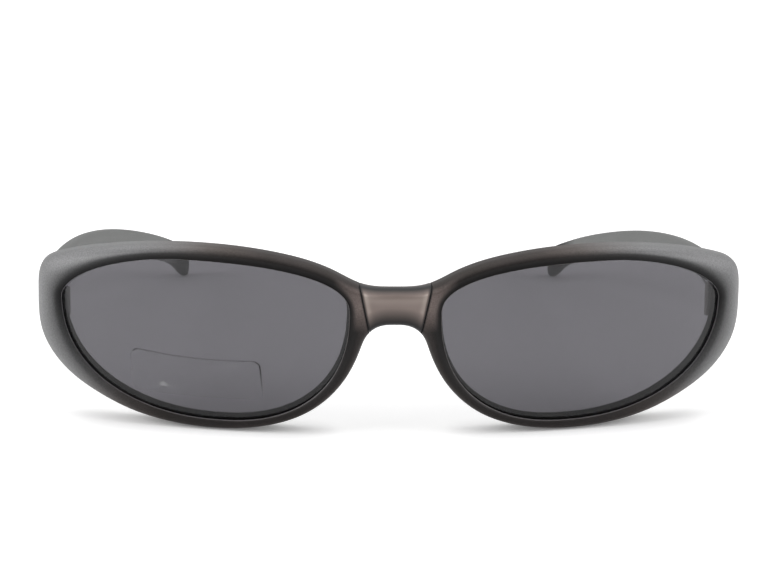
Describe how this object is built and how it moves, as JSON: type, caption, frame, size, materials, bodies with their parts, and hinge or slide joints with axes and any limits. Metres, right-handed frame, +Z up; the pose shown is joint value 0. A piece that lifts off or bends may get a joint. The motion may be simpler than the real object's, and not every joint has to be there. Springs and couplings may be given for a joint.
{
  "type": "sunglasses",
  "caption": "Wraparound sunglasses: oval smoke lenses in full rims, a separate bridge piece, and curved arms that fold in on barrel hinges.",
  "frame": {"origin": "centre of the bounding box, on the surface that the glasses stand on with the arms open", "axes": "+X to the wearer's left, +Y from the front back to the ears, +Z up; the wearer looks along -Y"},
  "size_m": [0.1402, 0.1484, 0.0367],
  "materials": {
    "frame_lacquer": "satin gunmetal lacquer over moulded plastic",
    "bridge_plastic": "translucent grey-brown moulded plastic under satin lacquer",
    "arm_lacquer": "matte grey lacquer over moulded plastic",
    "pad_plastic": "moulded plastic, smooth matte",
    "smoke_lens": "smoke tinted lens, polished",
    "clear_film": "clear bare film, glossy",
    "hinge_steel": "stamped steel, satin",
    "screw_steel": "turned steel, bright",
    "pin_steel": "drawn steel pin",
    "core_wire": "drawn steel wire"
  },
  "bodies": {
    "front": {"bridge": "bridge_plastic", "rim_left": "frame_lacquer", "rim_right": "frame_lacquer", "lens_left": "smoke_lens", "lens_right": "smoke_lens", "bridge_pins_left": "pin_steel", "bridge_pins_right": "pin_steel", "nose_pad_left": "pad_plastic", "nose_pad_right": "pad_plastic", "hinge_front_leaf_left": "hinge_steel", "hinge_front_leaf_right": "hinge_steel", "hinge_front_rivets_left": "hinge_steel", "hinge_front_rivets_right": "hinge_steel", "hinge_screw_left": "screw_steel", "hinge_screw_right": "screw_steel", "lens_film_right": "clear_film"},
    "arm_left": {"arm_left": "arm_lacquer", "arm_core_wire_left": "core_wire", "hinge_arm_leaf_left": "hinge_steel", "hinge_arm_rivets_left": "hinge_steel"},
    "arm_right": {"arm_right": "arm_lacquer", "arm_core_wire_right": "core_wire", "hinge_arm_leaf_right": "hinge_steel", "hinge_arm_rivets_right": "hinge_steel"}
  },
  "joints": [
    {"name": "fold_left", "type": "hinge", "parent": "front", "child": "arm_left", "pos_m": [0.06475, -0.04641, 0.0223], "axis": [0, 0, 1], "range_deg": [0, 80]},
    {"name": "fold_right", "type": "hinge", "parent": "front", "child": "arm_right", "pos_m": [-0.06475, -0.04641, 0.0223], "axis": [0, 0, -1], "range_deg": [0, 70]}
  ]
}
